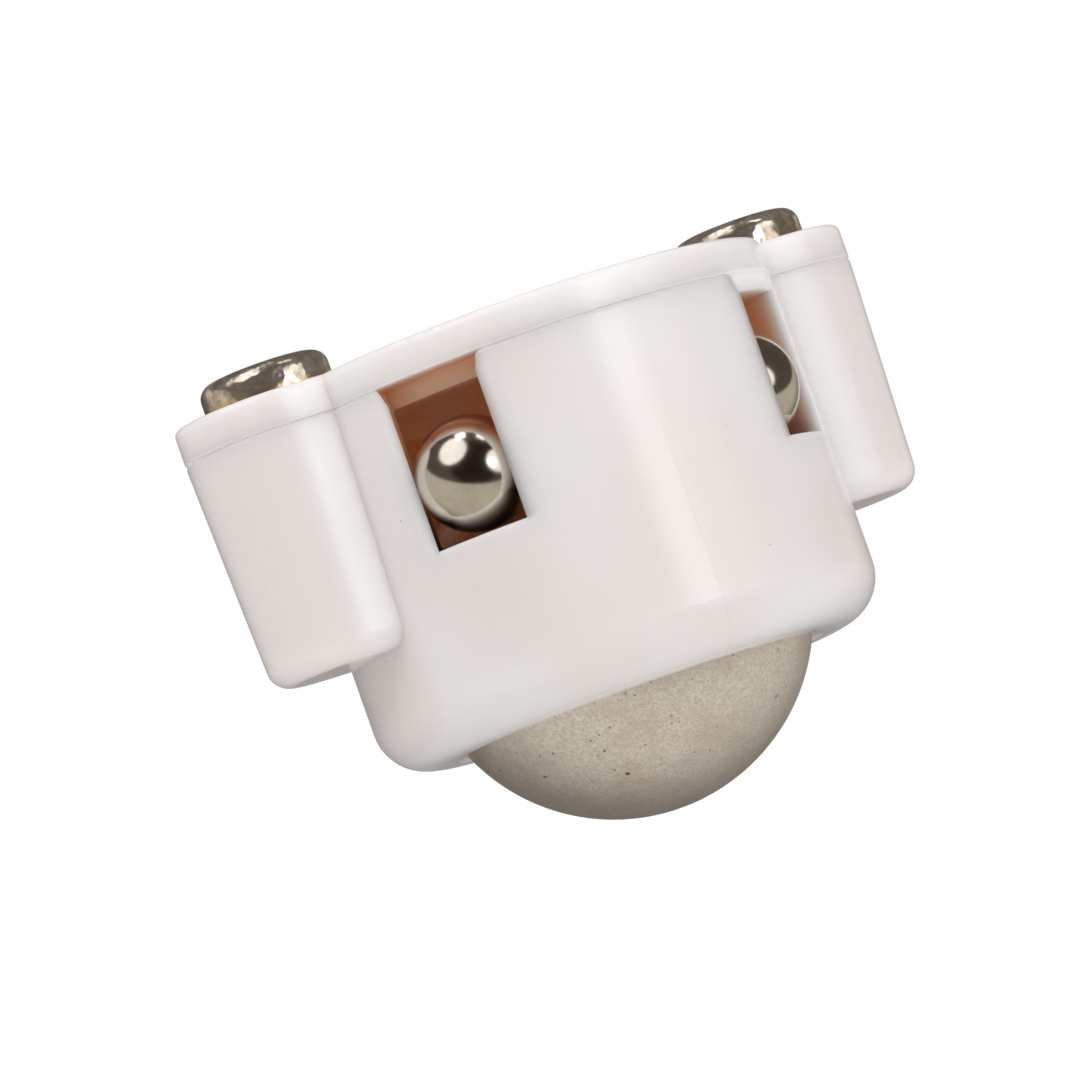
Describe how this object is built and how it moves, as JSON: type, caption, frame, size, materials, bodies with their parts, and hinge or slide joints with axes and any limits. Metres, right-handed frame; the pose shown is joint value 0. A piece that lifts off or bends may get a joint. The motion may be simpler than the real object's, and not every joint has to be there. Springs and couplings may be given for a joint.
{
  "type": "ball transfer unit",
  "caption": "Small ball transfer unit: a steel ball on loose support balls in a round moulded housing with screw ears and a flat cap.",
  "frame": {"origin": "centre of the flat mounting face on top of the cap, midway between the two screws", "axes": "+Z out of the mounting face, away from the ball; +X from the left screw ear to the right one; -Y is the front"},
  "size_m": [0.0226, 0.0158, 0.0164],
  "materials": {
    "plastic": "white injection-moulded plastic, satin",
    "satin_steel": "carbon steel ball, dull satin with fine mottling",
    "bright_steel": "polished bearing steel",
    "nickel": "nickel-plated steel screw"
  },
  "bodies": {
    "housing_body": {"housing": "plastic", "cap_plate": "plastic", "screw_left": "nickel", "screw_right": "nickel"},
    "main_ball": {"main_ball": "satin_steel"},
    "support_ball_front_left": {"support_ball_front_left": "bright_steel"},
    "support_ball_front_right": {"support_ball_front_right": "bright_steel"},
    "support_ball_back_left": {"support_ball_back_left": "bright_steel"},
    "support_ball_back_right": {"support_ball_back_right": "bright_steel"}
  },
  "joints": [
    {"name": "main_ball_roll", "type": "hinge", "parent": "housing_body", "child": "main_ball", "pos_m": [0, 0, -0.0094], "axis": [1, 0, 0], "continuous": true},
    {"name": "support_ball_front_left_roll", "type": "hinge", "parent": "housing_body", "child": "support_ball_front_left", "pos_m": [-0.00475, -0.00459, -0.00435], "axis": [0.8206, -0.3846, 0.4227], "continuous": true},
    {"name": "support_ball_front_right_roll", "type": "hinge", "parent": "housing_body", "child": "support_ball_front_right", "pos_m": [0.0044, -0.00459, -0.00435], "axis": [0.8408, 0.3643, -0.4005], "continuous": true},
    {"name": "support_ball_back_left_roll", "type": "hinge", "parent": "housing_body", "child": "support_ball_back_left", "pos_m": [-0.00475, 0.00456, -0.00435], "axis": [0.8196, 0.3838, 0.4253], "continuous": true},
    {"name": "support_ball_back_right_roll", "type": "hinge", "parent": "housing_body", "child": "support_ball_back_right", "pos_m": [0.0044, 0.00456, -0.00435], "axis": [0.8398, -0.3636, -0.403], "continuous": true}
  ],
  "couplings": [
    {"joint": "support_ball_front_left_roll", "follows": "main_ball_roll", "ratio": -2.8136},
    {"joint": "support_ball_front_right_roll", "follows": "main_ball_roll", "ratio": -2.8826},
    {"joint": "support_ball_back_left_roll", "follows": "main_ball_roll", "ratio": -2.8101},
    {"joint": "support_ball_back_right_roll", "follows": "main_ball_roll", "ratio": -2.8795}
  ]
}
